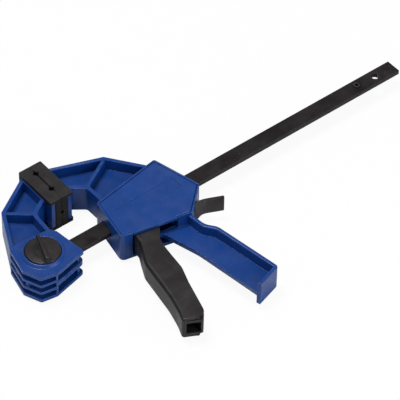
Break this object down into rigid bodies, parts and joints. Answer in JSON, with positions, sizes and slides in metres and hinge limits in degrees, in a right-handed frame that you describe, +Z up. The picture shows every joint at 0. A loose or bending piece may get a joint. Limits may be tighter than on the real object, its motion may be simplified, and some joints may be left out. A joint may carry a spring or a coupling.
{
  "type": "quick release bar clamp",
  "caption": "One-handed bar clamp: a fixed jaw with a turn-to-release knob, and a sliding jaw with pistol grip, squeeze trigger, release lever and grooved soft pads.",
  "frame": {"origin": "plane between the closed pads (x 0), centreline of the bar (y 0) and underside of the pads, which the clamp lies on (z 0)", "axes": "+X along the bar to its free end, +Y across the bar towards the pads, +Z up through the thickness of the clamp as it lies on its side"},
  "size_m": [0.3774, 0.2027, 0.0368],
  "materials": {
    "bar_steel": "black oxide on rolled steel, satin",
    "pin_steel_dark": "black oxide on a rolled spring pin",
    "blue_body": "moulded glass-filled nylon, royal blue, satin",
    "pad_rubber": "soft moulded rubber, matt black",
    "black_plastic": "moulded glass-filled nylon, black, satin",
    "pin_steel": "ground steel",
    "ring_rubber": "smooth moulded rubber, black",
    "screw_steel": "zinc-plated steel",
    "plate_steel": "hardened steel, oiled",
    "spring_steel": "drawn spring wire"
  },
  "bodies": {
    "bar": {"bar": "bar_steel", "stop_pin": "pin_steel_dark", "fixed_jaw": "blue_body", "fixed_pad": "pad_rubber", "knob_ring": "ring_rubber"},
    "knob": {"lock_knob": "black_plastic", "lock_pin": "pin_steel", "bayonet_pin": "pin_steel"},
    "jaw": {"moving_jaw": "blue_body", "side_cover": "blue_body", "moving_pad": "pad_rubber", "cover_screws": "screw_steel", "trigger_pin": "pin_steel", "release_pin": "pin_steel", "drive_spring": "spring_steel", "brake_spring": "spring_steel"},
    "trigger": {"trigger": "black_plastic", "trigger_roller": "pin_steel"},
    "drive": {"drive_plate_front": "plate_steel", "drive_plate_rear": "plate_steel"},
    "release": {"release_lever": "black_plastic", "brake_plate_front": "plate_steel", "brake_plate_rear": "plate_steel"}
  },
  "joints": [
    {"name": "knob_turn", "type": "hinge", "parent": "bar", "child": "knob", "pos_m": [-0.044, 0, 0.0158], "axis": [0, 0, 1], "range_deg": [0, 90]},
    {"name": "jaw_slide", "type": "slide", "parent": "bar", "child": "jaw", "axis": [1, 0, 0], "range_m": [0, 0.175]},
    {"name": "trigger_squeeze", "type": "hinge", "parent": "jaw", "child": "trigger", "pos_m": [0.04, 0.0122, 0.0158], "axis": [0, 0, 1], "range_deg": [0, 15], "stiffness_Nm_per_rad": 3, "springref_deg": -5.73},
    {"name": "drive_slide", "type": "slide", "parent": "jaw", "child": "drive", "axis": [1, 0, 0], "range_m": [0, 0.0068], "deforming": ["drive_spring"]},
    {"name": "release_press", "type": "hinge", "parent": "jaw", "child": "release", "pos_m": [0.074, -0.0195, 0.0158], "axis": [0, 0, 1], "range_deg": [-6, 0], "stiffness_Nm_per_rad": 0.8, "springref_deg": 5.73, "deforming": ["brake_spring"]}
  ],
  "couplings": [
    {"joint": "drive_slide", "follows": "trigger_squeeze", "m_per_rad": 0.0252}
  ]
}
